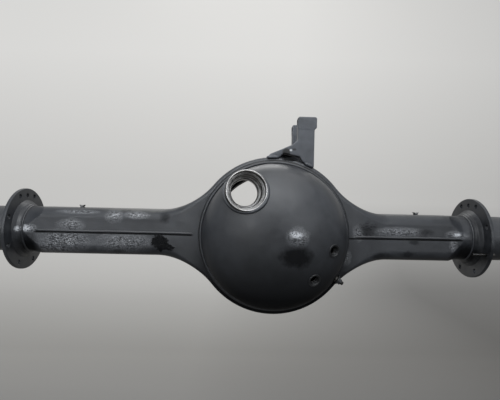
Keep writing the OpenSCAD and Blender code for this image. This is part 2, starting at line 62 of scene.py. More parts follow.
FLANGE_R, FLANGE_IN, FLANGE_OUT = 120, 6, 16
FLANGE_HOLES, FLANGE_HOLE_R, FLANGE_BOLT_R, FLANGE_TOP_R = 8, 6.75, 103.5, 98.5
STUD_TURN, STUD_HOLE_R = 112.5, 4.1
SEAM_IN, SEAM_SHORT = 232, 46
EAR_OUT, EAR_HALF = 64.0, 14.4
SWEEP_X = math.sqrt((BOWL_R + SWEEP_R) ** 2 - (ARM_HALF + SWEEP_R) ** 2)
FLAT_X = BOWL_R - BOWL_EDGE + 1


# Places

def place(origin, x_to, y_to, z_to):
    m = np.eye(4)
    m[:3, 0], m[:3, 1], m[:3, 2], m[:3, 3] = x_to, y_to, z_to, origin
    return m


def moved(x, y, z):
    return place((x, y, z), (1, 0, 0), (0, 1, 0), (0, 0, 1))


def turned(axis, angle):
    return np.array(Matrix.Rotation(angle, 4, axis))


REAR = place((0, AXIS_Y - HALF_DEPTH, 0), (1, 0, 0), (0, 0, 1), (0, -1, 0))
FRONT = place((0, AXIS_Y + HALF_DEPTH, 0), (1, 0, 0), (0, 0, -1), (0, 1, 0))
RIGHT = place((RIGHT_FACE, AXIS_Y, 0), (0, 0, -1), (0, 1, 0), (1, 0, 0))
LEFT = place((-LEFT_FACE, AXIS_Y, 0), (0, 0, -1), (0, 1, 0), (-1, 0, 0))
OUTPUT = (REAR @ moved(OUTPUT_R * math.cos(OUTPUT_ANGLE), OUTPUT_R * math.sin(OUTPUT_ANGLE), OUTPUT_H)
          @ turned("Y", OUTPUT_TILT[0]) @ turned("X", OUTPUT_TILT[1]) @ moved(0, 0, -OUTPUT_LEN))
TAB = REAR @ turned("Z", math.radians(-33.5)) @ moved(212.4, 0, 21) @ turned("Y", math.pi / 2)


def on_crown(share, angle):
    tilt = math.asin(share * COVER_R / CROWN_R)
    return (REAR @ moved(0, 0, CROWN_Z) @ turned("Z", math.radians(angle))
            @ turned("Y", tilt) @ moved(0, 0, CROWN_R))


FILL, SENSOR = on_crown(0.754, -10.5), on_crown(0.714, -46.5)


# Meshes

def clean(mesh, gap=1e-6):
    bm = bmesh.new()
    bm.from_mesh(mesh)
    bmesh.ops.remove_doubles(bm, verts=bm.verts, dist=gap)
    bmesh.ops.dissolve_degenerate(bm, edges=bm.edges, dist=1e-7)
    bmesh.ops.recalc_face_normals(bm, faces=bm.faces)
    bm.to_mesh(mesh)
    bm.free()


def shade(obj, angle=32):
    mesh = obj.data
    mesh.polygons.foreach_set("use_smooth", [True] * len(mesh.polygons))
    mesh.set_sharp_from_angle(angle=math.radians(angle))
    mesh.update()


def piece_of(name, points, faces, angle=32):
    mesh = bpy.data.meshes.new(name)
    mesh.from_pydata([tuple(p) for p in np.asarray(points) * MM], [], faces)
    clean(mesh)
    obj = bpy.data.objects.new(name, mesh)
    bpy.context.scene.collection.objects.link(obj)
    shade(obj, angle)
    return obj


def settled(obj, angle=32):
    """The object with its modifiers worked into a plain mesh."""
    bpy.context.view_layer.update()
    deps = bpy.context.evaluated_depsgraph_get()
    mesh = bpy.data.meshes.new_from_object(obj.evaluated_get(deps))
    obj.modifiers.clear()
    obj.data = mesh
    clean(mesh)
    shade(obj, angle)
    return obj


def eased(outline, radius, steps=4):
    """A closed outline with its corners rounded."""
    out, n = [], len(outline)
    for i in range(n):
        a, p, b = (np.array(outline[k % n], float) for k in (i - 1, i, i + 1))
        u, v = a - p, b - p
        lu, lv = np.linalg.norm(u), np.linalg.norm(v)
        if p[0] < 1e-6 or min(lu, lv) < 1e-6 or abs(u[0] * v[1] - u[1] * v[0]) < 0.02 * lu * lv:
            out.append(tuple(p))
            continue
        d = min(radius, 0.42 * lu, 0.42 * lv)
        for t in np.linspace(0, 1, steps + 1):
            out.append(tuple((1 - t) ** 2 * (p + u / lu * d) + 2 * t * (1 - t) * p + t * t * (p + v / lv * d)))
    return out


def lathe(name, outline, at, segments=96, thread=None, angle=32):
    """A closed outline of (radius, height) turned about local z. thread is (low, high, pitch, depth)."""
    rows = []
    for i, p in enumerate(outline):
        q = outline[(i + 1) % len(outline)]
        rows.append(p)
        if thread and abs(p[0] - q[0]) < 0.02:
            lo, hi = min(p[1], q[1]), max(p[1], q[1])
            if lo >= thread[0] - 2.5 and hi <= thread[1] + 2.5 and hi - lo > 3:
                n = int((hi - lo) / thread[2] * 8)
                rows += [(p[0], p[1] + (q[1] - p[1]) * k / n) for k in range(1, n)]
    rows = np.array(rows, float)
    turn = np.linspace(0, 2 * math.pi, segments, endpoint=False)
    r = np.repeat(rows[:, 0][:, None], segments, 1)
    h = np.repeat(rows[:, 1][:, None], segments, 1)
    if thread:
        low, high, pitch, depth = thread
        wave = np.abs(((h / pitch - turn[None, :] / (2 * math.pi)) % 1.0) * 2 - 1)
        fade = np.clip(np.minimum(h - low, high - h) / pitch, 0, 1)
        r = r - depth * np.clip(wave * 1.25 - 0.12, 0, 1) * fade
    pts = np.stack([r * np.cos(turn), r * np.sin(turn), h, np.ones_like(r)], -1).reshape(-1, 4)
    pts = (at @ pts.T).T[:, :3]
    m, s = len(rows), segments
    faces = [(j * s + k, j * s + (k + 1) % s, ((j + 1) % m) * s + (k + 1) % s, ((j + 1) % m) * s + k)
             for j in range(m) for k in range(s)]
    return piece_of(name, pts, faces, angle)


def joined(name, objs):
    """Several meshes as one object."""
    bm = bmesh.new()
    for o in objs:
        bm.from_mesh(o.data)
        bpy.data.objects.remove(o)
    mesh = bpy.data.meshes.new(name)
    bm.to_mesh(mesh)
    bm.free()
    obj = bpy.data.objects.new(name, mesh)
    bpy.context.scene.collection.objects.link(obj)
    return obj


def cut(obj, cutters, angle=32):
    tool = joined("cutter", cutters)
    mod = obj.modifiers.new("cut", "BOOLEAN")
    mod.operation, mod.solver, mod.object = "DIFFERENCE", "EXACT", tool
    settled(obj, angle)
    bpy.data.objects.remove(tool)
    return obj


def drill(at, radius, low, high, mouth=1.0, segments=40):
    """A drill with a chamfered mouth at both ends, along local z."""
    return lathe("drill", [(0, low - 3), (radius + mouth + 3, low - 3), (radius + mouth, low), (radius, low + mouth),
                           (radius, high - mouth), (radius + mouth, high), (radius + mouth + 3, high + 3),
                           (0, high + 3)], at, segments)


def blind_drill(at, radius, low, high, mouth=1.0, segments=32):
    return lathe("drill", [(0, low - radius * 0.5), (radius, low), (radius, high - mouth), (radius + mouth, high),
                           (radius + mouth + 3, high + 3), (0, high + 3)], at, segments)


def copy_of(node):
    """A copy of a solid's mesh, with its triangles joined."""
    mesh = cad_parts[node].data.copy()
    obj = bpy.data.objects.new(node + "_look", mesh)
    bpy.context.scene.collection.objects.link(obj)
    clean(mesh, 1e-5)
    return obj


def eased_copy(node, width, segments=3, angle=32):
    """A copy of a piece with its edges rounded."""
    obj = copy_of(node)
    bm = bmesh.new()
    bm.from_mesh(obj.data)
    bmesh.ops.dissolve_limit(bm, angle_limit=math.radians(1.5), verts=bm.verts, edges=bm.edges)
    bm.to_mesh(obj.data)
    bm.free()
    mod = obj.modifiers.new("edges", "BEVEL")
    mod.width, mod.segments, mod.limit_method = width * MM, segments, "ANGLE"
    mod.angle_limit = math.radians(40)
    return settled(obj, angle)


def forged_bracket(grain, rounds):
    """The bracket with its heads drawn flush with its ears and every edge rounded as in a forging."""
    obj = copy_of("torque_rod_bracket")
    for vert in obj.data.vertices:
        off_axis = vert.co.y / MM - AXIS_Y
        off_ear = abs(off_axis) - EAR_OUT
        if EAR_HALF < abs(off_ear) < EAR_HALF + 3:
            flush = EAR_OUT + math.copysign(EAR_HALF, off_ear)
            vert.co.y = (AXIS_Y + math.copysign(flush, off_axis)) * MM
    mod = obj.modifiers.new("body", "REMESH")
    mod.mode, mod.voxel_size = "VOXEL", grain * MM
    mod = obj.modifiers.new("rounding", "SMOOTH")
    mod.factor, mod.iterations = 0.5, rounds
    return settled(obj, 60)


# Half shells

def smooth(t):
    u = min(max(t, 0.0), 1.0)
    return u * u * (3 - 2 * u)


def half_height(x, e):
    a, r, s = abs(x), BOWL_R - e, SWEEP_R + e
    if a <= SWEEP_X * r / (r + s):
        return math.sqrt(r * r - a * a)
    if a < SWEEP_X:
        return ARM_HALF + SWEEP_R - math.sqrt(s * s - (SWEEP_X - a) ** 2)
    return ARM_HALF - e


def arm_share(x):
    return smooth((abs(x) - FLAT_X) / (SWEEP_X - FLAT_X))


def arm_end(x):
    return (LEFT_FACE if x < 0 else RIGHT_FACE) - SPINDLE_BASE


def depth_at(x):
    return HALF_DEPTH + (ARM_HALF - HALF_DEPTH) * arm_share(x)


def corner_at(x):
    return BOWL_EDGE + (ARM_CORNER - BOWL_EDGE) * arm_share(x)


def turned_r(x):
    """Radius to which the square arm is turned down towards its end."""
    straight, slope, curve, _run = LEFT_TURN if x < 0 else RIGHT_TURN
    u = max(arm_end(x) - straight - abs(x), 0.0)
    return ARM_HALF + slope * u + curve * u * u


def opening(x, r):
    return math.sqrt(r * r - x * x) if abs(x) < r else 0.0


def shell_section(x, e, steps=12):
    d, c = depth_at(x) - e, max(corner_at(x) - e, 3)
    bend = []
    for i in range(steps + 1):
        t = math.radians(90 - 90 * i / steps)
        bend.append((d - c + c * math.sin(t), half_height(x, e + c * (1 - math.cos(t)))))
    rho, low, top = turned_r(x) - e, bend[0], bend[-1]
    if rho < math.hypot(*low):
        side = math.asin(min(math.sqrt(max(rho * rho - d * d, 0.01)) / rho, 1))
        over = math.acos(min(math.sqrt(max(rho * rho - top[1] ** 2, 0.01)) / rho, 1))
        bend = [(rho * math.cos(t), rho * math.sin(t)) for t in np.linspace(side, over, steps + 1)]
    else:
        bend = [(y * min(1, rho / math.hypot(y, z)), z * min(1, rho / math.hypot(y, z))) for y, z in bend]
    low, top = bend[0], bend[-1]

    def flat(start):
        last = low[1] - min(1.5, 0.3 * (low[1] - start))
        return [start + (last - start) * k / 5 for k in range(6)]

    lip = top[0] - min(1.5, 0.3 * top[0])
    rows = [(-d, z) for z in flat(opening(x, REAR_OPEN))]
    rows += [(-y, z) for y, z in bend] + [(y, top[1]) for y in np.linspace(-lip, lip, 6)]
    rows += list(reversed(bend)) + [(d, z) for z in reversed(flat(opening(x, FRONT_OPEN)))]
    return [(x, AXIS_Y + y, z) for y, z in rows]


def shell_stations():
    xs = [REAR_OPEN * math.sin(math.radians(t)) for t in np.arange(-90, 90.1, 2.5)]
    for sign, run in ((-1, LEFT_TURN[3]), (1, RIGHT_TURN[3])):
        end = arm_end(sign)
        side = [REAR_OPEN + (SWEEP_X - REAR_OPEN) * (i / 30) ** 1.2 for i in range(1, 31)]
        side += list(np.linspace(SWEEP_X, end - run, 14)[1:]) + list(np.linspace(end - run, end, 30)[1:])
        xs += [sign * x for x in side]
    return sorted(xs)


def half_shell(name, up):
    xs = shell_stations()
    outer = np.array([shell_section(x, 0) for x in xs])
    inner = np.array([shell_section(x, WALL) for x in xs])
    n, m = outer.shape[:2]
    pts = np.concatenate([outer.reshape(-1, 3), inner.reshape(-1, 3)])
    pts[:, 2] *= up
    o = lambda i, j: i * m + j
    w = lambda i, j: n * m + i * m + j
    faces = []
    for i in range(n - 1):
        for j in range(m - 1):
            faces.append((o(i, j), o(i, j + 1), o(i + 1, j + 1), o(i + 1, j)))
            faces.append((w(i, j), w(i + 1, j), w(i + 1, j + 1), w(i, j + 1)))
        faces.append((o(i, 0), o(i + 1, 0), w(i + 1, 0), w(i, 0)))
        faces.append((o(i + 1, m - 1), o(i, m - 1), w(i, m - 1), w(i + 1, m - 1)))
    for j in range(m - 1):
        faces.append((o(0, j + 1), o(0, j), w(0, j), w(0, j + 1)))
        faces.append((o(n - 1, j), o(n - 1, j + 1), w(n - 1, j + 1), w(n - 1, j)))
    return piece_of(name, pts, faces, 35)


# Rear cover

def dome_arc(e, steps=26):
    """Outline of the dome from its foot to its top, drawn in by e."""
    pts = [(COVER_R - e, 0.0), (COVER_R - e, COVER_FOOT * 0.8)]
    pts += [(COVER_R - KNUCKLE_R + (KNUCKLE_R - e) * math.cos(t), COVER_FOOT + (KNUCKLE_R - e) * math.sin(t))
            for t in np.linspace(0, KNUCKLE_TILT, steps)]
    pts += [((CROWN_R - e) * math.cos(t), CROWN_Z + (CROWN_R - e) * math.sin(t))
            for t in np.linspace(KNUCKLE_TILT, math.pi / 2, steps)[1:]]
    return pts


def dome_height(r):
    """Height of the dome's outside above the rear face at radius r."""
    if r <= CROWN_R * math.cos(KNUCKLE_TILT):
        return CROWN_Z + math.sqrt(CROWN_R ** 2 - r * r)
    if r < COVER_R:
        return COVER_FOOT + math.sqrt(max(KNUCKLE_R ** 2 - (r - COVER_R + KNUCKLE_R) ** 2, 0))
    return 0.0


def rear_cover():
    """The dome, cut out for the output ring and the two bosses."""
    def plug(radius, low, high, at, segments):
        return lathe("cutter", [(0, low), (radius, low), (radius, high), (0, high)], at, segments)

    dome = lathe("rear_cover_look", dome_arc(0) + list(reversed(dome_arc(COVER_WALL))), REAR, 192)
    return cut(dome, [plug(OUTPUT_OD / 2 + 0.1, -1, 150, OUTPUT, 128), plug(BOSS_SEAT, -60, 60, FILL, 64),
                      plug(BOSS_SEAT, -60, 60, SENSOR, 64)])


def output_ring():
    face = OUTPUT_LEN
    outline = [(36.5, 0), (55, 0), (55, face - 6), (53, face - 4), (53, face), (50.8, face), (50, face - 1),
               (50, face - 24), (46.6, face - 24), (46.0, face - 25.2), (44.6, face - 25.2), (43.6, face - 26.6),
               (42.5, face - 28), (42.5, face - 50), (44.2, face - 50.4), (44.2, face - 53.4), (42.5, face - 53.8),
               (42.5, face - 62), (38.6, face - 62), (36.5, face - 64.5)]
    return lathe("output_bearing_ring_look", eased(outline, 0.5, 2), OUTPUT, 160)


def cover_boss(name, at):
    outline = [(12.6, -17), (18, -17), (18, 0.4), (17.4, 1), (13.8, 1), (12.6, -0.4)]
    return lathe(name, outline, at, 72, thread=(-17, -0.2, 2.0, 1.1))


# Carrier ring

def carrier_ring():
    outline = [(RING_BORE, 0), (RING_RIM, 0), (RING_RIM, RING_H), (RING_BORE, RING_H)]
    ring = lathe("carrier_ring_look", eased(outline, 1.6, 3), FRONT, 192)
    holes = []
    for i in range(RING_HOLES):
        at = FRONT @ turned("Z", math.radians((i + 0.5) * 360 / RING_HOLES)) @ moved(RING_BOLT_R, 0, 0)
        holes.append(blind_drill(at, RING_HOLE_R, RING_H - 19, RING_H, 1.2))
    return cut(ring, holes)


# Wheel ends

def spindle(name, at):
    base = [(ARM_HALF - WALL, -SPINDLE_BASE), (ARM_HALF, -SPINDLE_BASE), (ARM_HALF, 100), (62, 104), (62, 129)]
    journals = [(59, 132), (49.6, 132), (47.625, 134), (47.625, 190), (46.6, 191), (42.2, 248), (41.275, 252),
                (41.275, 298)]
    nose = [(37.5, 299), (37.5, 301), (39.5, 303), (39.5, 344), (37.5, 346), (33.5, 346), (30.5, 343), (30.5, 5)]
    obj = lathe(name, eased(base + journals + nose, 0.9, 3), at, 128, thread=(302, 346, 3.2, 1.7))
    key = [(x, y, z) for x in (-43, -35) for y in (-5, 5) for z in (304, 350)]
    quads = [(0, 1, 3, 2), (4, 6, 7, 5), (0, 4, 5, 1), (2, 3, 7, 6), (0, 2, 6, 4), (1, 5, 7, 3)]
    pts = (at @ np.array([k + (1,) for k in key]).T).T[:, :3]
    return cut(obj, [piece_of("cutter", pts, quads)])


def brake_flange(name, at, stud=None):
    """A brake plate on a faired hub. The hole at the stud's turn fits the stud."""
    hub = [(66.6, -14), (71, -14), (74.6, -9.5), (75.6, -3.5), (85, 5)]
    plate = [(85, FLANGE_IN), (FLANGE_R, FLANGE_IN), (FLANGE_R, FLANGE_OUT), (66.6, FLANGE_OUT)]
    obj = lathe(name, eased(hub + plate, 2.4, 5), at, 160, angle=50)
    holes = [((i + 0.5) * 360 / FLANGE_HOLES, FLANGE_BOLT_R) for i in range(FLANGE_HOLES)] + [(0.0, FLANGE_TOP_R)]
    drills = []
    for turn, out in holes:
        hole_at = at @ turned("Z", math.radians(turn)) @ moved(-out, 0, 0)
        drills.append(drill(hole_at, STUD_HOLE_R if turn == stud else FLANGE_HOLE_R, FLANGE_IN, FLANGE_OUT, 0.5))
    return cut(obj, drills)


def flange_stud():
    outline = [(0, -33), (3, -33), (4, -32), (4, 29), (3, 30), (0, 30)]
    at = RIGHT @ turned("Z", math.radians(STUD_TURN)) @ moved(-FLANGE_BOLT_R, 0, 0)
    return lathe("flange_stud_look", outline, at, 40, thread=(-32, -6, 1.25, 0.6))


def tab_bolt():
    head = eased_copy("tab_bolt", 0.5, 2)
    shank = lathe("tab_bolt_thread", [(0, 13.2), (5.35, 13.2), (5.35, 20.4), (4.6, 21.2), (0, 21.2)], TAB, 40,
                  thread=(13, 21.2, 1.5, 0.7))
    obj = joined("tab_bolt_look", [head, shank])
    shade(obj)
    return obj


# Weld beads

def link(tree, a, b):
    tree.links.new(a, b)


def maths(tree, what, a, b=None, clamp=False):
    node = tree.nodes.new("ShaderNodeMath")
    node.operation, node.use_clamp = what, clamp
    for slot, value in zip(node.inputs, (a, b)):
        if value is None:
            continue
        if isinstance(value, (int, float)):
            slot.default_value = value
        else:
            link(tree, value, slot)
    return node.outputs[0]


def new_tree(name, rows, takes_path=False):
    """A node tree with named inputs, its two end nodes and the identifier of each input."""
    tree = bpy.data.node_groups.new(name, "GeometryNodeTree")
    if takes_path:
        tree.interface.new_socket(name="Geometry", in_out="INPUT", socket_type="NodeSocketGeometry")
    ids = {}
    for key, kind, value in rows:
        item = tree.interface.new_socket(name=key, in_out="INPUT", socket_type="NodeSocket" + kind)
        if value is not None:
            item.default_value = value
        ids[key] = item.identifier
    tree.interface.new_socket(name="Geometry", in_out="OUTPUT", socket_type="NodeSocketGeometry")
    return tree, tree.nodes.new("NodeGroupInput"), tree.nodes.new("NodeGroupOutput"), ids


def coated(tree, shape, metal, out):
    """Ends a tree with real geometry that carries its metal."""
    real = tree.nodes.new("GeometryNodeRealizeInstances")
    coat = tree.nodes.new("GeometryNodeSetMaterial")
    link(tree, shape, real.inputs["Geometry"])
    link(tree, real.outputs["Geometry"], coat.inputs["Geometry"])
    link(tree, metal, coat.inputs["Material"])
    link(tree, coat.outputs["Geometry"], out.inputs[0])


def bead_tree():
    """A rippled bead of weld metal along a path of edges."""
    tree, given, out, ids = new_tree("weld bead", (
        ("Radius", "Float", 0.005), ("Spacing", "Float", 0.003), ("Ripple", "Float", 0.0002),
        ("Unevenness", "Float", 0.001), ("End taper", "Float", 0.0), ("Seed", "Float", 0.0),
        ("Metal", "Material", None)), takes_path=True)
    new = tree.nodes.new
    curve, fine = new("GeometryNodeMeshToCurve"), new("GeometryNodeResampleCurve")
    fine.mode = "LENGTH"
    fine.inputs["Length"].default_value = 0.0013
    link(tree, given.outputs["Geometry"], curve.inputs["Mesh"])
    link(tree, curve.outputs["Curve"], fine.inputs["Curve"])
    along, whole = new("GeometryNodeSplineParameter"), new("GeometryNodeSplineLength")
    keep = new("GeometryNodeCaptureAttribute")
    keep.capture_items.new("FLOAT", "Along")
    link(tree, fine.outputs["Curve"], keep.inputs["Geometry"])
    link(tree, along.outputs["Length"], keep.inputs[1])
    left = maths(tree, "SUBTRACT", whole.outputs["Length"], along.outputs["Length"])
    end = maths(tree, "ADD", maths(tree, "MINIMUM", along.outputs["Length"], left), 0.00001)
    taper = maths(tree, "MAXIMUM", given.outputs["End taper"], 0.000001)
    share = maths(tree, "POWER", maths(tree, "DIVIDE", end, taper, True), 0.5)
    width = new("GeometryNodeSetCurveRadius")
    link(tree, keep.outputs["Geometry"], width.inputs["Curve"])
    link(tree, maths(tree, "MULTIPLY", share, given.outputs["Radius"]), width.inputs["Radius"])
    profile = new("GeometryNodeCurvePrimitiveCircle")
    profile.inputs["Resolution"].default_value = 14
    profile.inputs["Radius"].default_value = 1.0
    tube = new("GeometryNodeCurveToMesh")
    link(tree, width.outputs["Curve"], tube.inputs["Curve"])
    link(tree, profile.outputs["Curve"], tube.inputs["Profile Curve"])
    tube.inputs["Fill Caps"].default_value = True
    if "Scale" in tube.inputs:
        radius = new("GeometryNodeInputRadius")
        link(tree, radius.outputs[0], tube.inputs["Scale"])
    place_now = new("GeometryNodeInputPosition")
    wander = new("ShaderNodeTexNoise")
    wander.noise_dimensions = "4D"
    wander.inputs["Scale"].default_value = 90.0
    wander.inputs["Detail"].default_value = 2.0
    link(tree, place_now.outputs[0], wander.inputs["Vector"])
    link(tree, given.outputs["Seed"], wander.inputs["W"])
    phase = maths(tree, "MULTIPLY", maths(tree, "DIVIDE", keep.outputs[1], given.outputs["Spacing"]), 2 * math.pi)
    swing = maths(tree, "ADD", phase, maths(tree, "MULTIPLY", wander.outputs[0], 5.0))
    ripple = maths(tree, "MULTIPLY", maths(tree, "SINE", swing), given.outputs["Ripple"])
    lumps = maths(tree, "MULTIPLY", maths(tree, "SUBTRACT", wander.outputs[0], 0.5), given.outputs["Unevenness"])
    push = new("ShaderNodeVectorMath")
    push.operation = "SCALE"
    facing = new("GeometryNodeInputNormal")
    link(tree, facing.outputs[0], push.inputs[0])
    link(tree, maths(tree, "ADD", ripple, lumps), push.inputs["Scale"])
    shape = new("GeometryNodeSetPosition")
    link(tree, tube.outputs["Mesh"], shape.inputs["Geometry"])
    link(tree, push.outputs[0], shape.inputs["Offset"])
    coated(tree, shape.outputs["Geometry"], given.outputs["Metal"], out)
    return tree, ids


def bead(name, paths, radius, metal, closed=True, spacing=3.2, ripple=0.16, lumps=1.2, taper=0.0, seed=1.0):
    """Weld metal along one or more paths, each a list of points in millimetres."""
    pts, edges = [], []
    for path in paths:
        first = len(pts)
        pts += [tuple(np.asarray(p) * MM) for p in path]
        edges += [(k, k + 1) for k in range(first, len(pts) - 1)]
        if closed:
            edges.append((len(pts) - 1, first))
    if closed:
        path = np.asarray(paths[0])
        around = np.linalg.norm(np.roll(path, -1, 0) - path, axis=1).sum()
        spacing = around / round(around / spacing)
    mesh = bpy.data.meshes.new(name)
    mesh.from_pydata(pts, edges, [])
    obj = bpy.data.objects.new(name, mesh)
    bpy.context.scene.collection.objects.link(obj)
    mod = obj.modifiers.new("bead", "NODES")
    mod.node_group = BEAD
    for key, value in (("Radius", radius * MM), ("Spacing", spacing * MM), ("Ripple", ripple * MM),
                       ("Unevenness", lumps * MM), ("End taper", taper * MM), ("Seed", seed), ("Metal", metal)):
        mod[BEAD_INPUT[key]] = value
    return settled(obj, 70)


def ring_path(at, radius, height, n=240):
    t = np.linspace(0, 2 * math.pi, n, endpoint=False)
    local = np.stack([radius * np.cos(t), radius * np.sin(t), np.full(n, height), np.ones(n)])
    return (at @ local).T[:, :3]


def output_weld_path():
    """Where the output ring's tilted wall meets the dome, and its foot outside the dome."""
    back, wall = np.linalg.inv(REAR) @ OUTPUT, OUTPUT_OD / 2 + 1
    pts = []
    for t in np.linspace(0, 2 * math.pi, 220, endpoint=False):
        low, high = 0.0, OUTPUT_LEN
        for _ in range(24):
            h = (low + high) / 2
            x, y, z, _one = back @ np.array([wall * math.cos(t), wall * math.sin(t), h, 1])
            low, high = (low, h) if z > dome_height(math.hypot(x, y)) else (h, high)
        pts.append(OUTPUT @ np.array([wall * math.cos(t), wall * math.sin(t), low, 1]))
    return np.array(pts)[:, :3]


def seam_path(sign, face, front):
    """Along the seam of one arm, on its rear or its front."""
    side = 1 if front else -1
    return [(sign * x, AXIS_Y + side * (depth_at(sign * x) + 0.2), 1.2 + 0.25 * math.sin(x * 0.031))
            for x in np.arange(SEAM_IN, face - SEAM_SHORT, 4.0)]


def ear_path(x0, x1, front):
    """Along the bowl's edge at the foot of an ear."""
    side = 1 if front else -1
    pts = []
    for t in np.linspace(math.acos(x0 / BOWL_R), math.acos(x1 / BOWL_R), 40):
        pts.append(((BOWL_R - 0.5) * math.cos(t), AXIS_Y + side * (HALF_DEPTH + 1.0), (BOWL_R - 0.5) * math.sin(t)))
    return pts


# Threads in the carrier ring's holes

def thread_tree():
    """A ring of holes, each with a thread."""
    tree, given, out, ids = new_tree("ring of threads", (
        ("Holes", "Int", 16), ("Circle radius", "Float", 0.194), ("Hole radius", "Float", 0.007),
        ("Turns", "Float", 9.0), ("Depth", "Float", 0.018), ("Metal", "Material", None)))
    new = tree.nodes.new
    circle, coil = new("GeometryNodeMeshCircle"), new("GeometryNodeCurveSpiral")
    link(tree, given.outputs["Holes"], circle.inputs["Vertices"])
    link(tree, given.outputs["Circle radius"], circle.inputs["Radius"])
    coil.inputs["Resolution"].default_value = 24
    link(tree, given.outputs["Turns"], coil.inputs["Rotations"])
    link(tree, given.outputs["Hole radius"], coil.inputs["Start Radius"])
    link(tree, given.outputs["Hole radius"], coil.inputs["End Radius"])
    link(tree, given.outputs["Depth"], coil.inputs["Height"])
    ridge, sweep = new("GeometryNodeCurvePrimitiveCircle"), new("GeometryNodeCurveToMesh")
    ridge.inputs["Resolution"].default_value = 4
    ridge.inputs["Radius"].default_value = 0.0008
    link(tree, coil.outputs["Curve"], sweep.inputs["Curve"])
    link(tree, ridge.outputs["Curve"], sweep.inputs["Profile Curve"])
    sweep.inputs["Fill Caps"].default_value = True
    every = new("GeometryNodeInstanceOnPoints")
    link(tree, circle.outputs["Mesh"], every.inputs["Points"])
    link(tree, sweep.outputs["Mesh"], every.inputs["Instance"])
    coated(tree, every.outputs["Instances"], given.outputs["Metal"], out)
    return tree, ids


def ring_threads(metal):
    tree, ids = thread_tree()
    obj = bpy.data.objects.new("carrier_ring_threads", bpy.data.meshes.new("carrier_ring_threads"))
    bpy.context.scene.collection.objects.link(obj)
    mod = obj.modifiers.new("threads", "NODES")
    mod.node_group = tree
    for key, value in (("Holes", RING_HOLES), ("Circle radius", RING_BOLT_R * MM),
                       ("Hole radius", RING_HOLE_R * MM), ("Turns", 9.0), ("Depth", 0.0172), ("Metal", metal)):
        mod[ids[key]] = value
    settled(obj, 40)
    at = FRONT @ turned("Z", math.radians(180 / RING_HOLES)) @ moved(0, 0, RING_H - 18.6)
    at[:3, 3] *= MM
    obj.data.transform(Matrix(at.tolist()))
    clean(obj.data)
    return obj


# Finishes

def put(tree, kind, inputs=None, **settings):
    node = tree.nodes.new(kind)
    for key, value in settings.items():
        setattr(node, key, value)
    for key, value in (inputs or {}).items():
        if hasattr(value, "is_linked"):
            tree.links.new(value, node.inputs[key])
        else:
            node.inputs[key].default_value = value
    return node


def noise(tree, coords, scale, detail=3.0, rough=0.55):
    return put(tree, "ShaderNodeTexNoise", {"Vector": coords, "Scale": scale, "Detail": detail,
                                            "Roughness": rough}).outputs[0]


def spread(tree, value, low, high, to_low=0.0, to_high=1.0):
    node = put(tree, "ShaderNodeMapRange", {"Value": value, "From Min": low, "From Max": high, "To Min": to_low,
                                            "To Max": to_high})
    node.clamp = True
    return node.outputs[0]


def between(tree, share, a, b):
    node = put(tree, "ShaderNodeMix", data_type="RGBA")
    for slot, value in zip((node.inputs[0], node.inputs[6], node.inputs[7]), (share, a, b)):
        if hasattr(value, "is_linked"):
            tree.links.new(value, slot)
        else:
            slot.default_value = value
    return node.outputs[2]


def times(tree, a, b):
    return maths(tree, "MULTIPLY", a, b)


def plus(tree, a, b):
    return maths(tree, "ADD", a, b)


def most(tree, value, *others):
    for other in others:
        value = maths(tree, "MAXIMUM", value, other)
    return value


def vector_maths(tree, what, a, b=None):
    node = put(tree, "ShaderNodeVectorMath", {0: a} if b is None else {0: a, 1: b}, operation=what)
    return node.outputs["Value" if what in ("LENGTH", "DOT_PRODUCT") else "Vector"]


def xyz(tree, vector):
    return put(tree, "ShaderNodeSeparateXYZ", {0: vector}).outputs[:3]


def patch_mask(tree, coords, wander, spots, edge):
    """1 inside each spot of the rear faces, 0 outside, with an edge that wanders."""
    here = []
    for x, z, rx, rz in spots:
        off = vector_maths(tree, "SUBTRACT", coords, (x * MM, 0.0, z * MM))
        share = vector_maths(tree, "MULTIPLY", off, (1 / (rx * MM), 0.0, 1 / (rz * MM)))
        ragged = plus(tree, vector_maths(tree, "LENGTH", share), wander)
        here.append(spread(tree, ragged, 1 + edge, 1 - edge))
    return times(tree, most(tree, *here), spread(tree, xyz(tree, coords)[1], -0.12, -0.14))


def toe_shade_ring(tree, coords, radius, half):
    """1 on a circle about the bowl's axis, 0 away from it, on the rear only; it lays painted shade where the cover
    weld meets the dome and the bowl.
    """
    flat = vector_maths(tree, "MULTIPLY", coords, (1.0, 0.0, 1.0))
    off = maths(tree, "ABSOLUTE", maths(tree, "SUBTRACT", vector_maths(tree, "LENGTH", flat), radius * MM))
    rear = spread(tree, xyz(tree, coords)[1], -0.17, -0.175)
    return times(tree, spread(tree, off, half * MM, 0.3 * half * MM), rear)


def seam_shadow_line(tree, coords):
    """1 on a painted shadow line under the arms' rear and front seam beads."""
    x, _y, z = xyz(tree, coords)
    here = spread(tree, maths(tree, "ABSOLUTE", plus(tree, z, 0.0036)), 0.0030, 0.0016)
    left = times(tree, spread(tree, x, -0.688, -0.680), spread(tree, x, -0.228, -0.236))
    right = times(tree, spread(tree, x, 0.203, 0.208), spread(tree, x, 0.556, 0.550))
    return times(tree, here, most(tree, left, right))


def new_material(name):
    mat = bpy.data.materials.new(name)
    mat.use_nodes = True
    tree = mat.node_tree
    return mat, tree, tree.nodes["Principled BSDF"], put(tree, "ShaderNodeTexCoord").outputs["Object"]


def lay_on(tree, bsdf, values):
    """Sets the shader's sockets, by a link where a value varies."""
    for key, value in values.items():
        if hasattr(value, "is_linked"):
            tree.links.new(value, bsdf.inputs[key])
        else:
            bsdf.inputs[key].default_value = value


def bumped(tree, strength, distance, height):
    return put(tree, "ShaderNodeBump", {"Strength": strength, "Distance": distance, "Height": height}).outputs[0]


def steel_grey(level):
    return (level * 1.02, level, level * 0.98, 1.0)


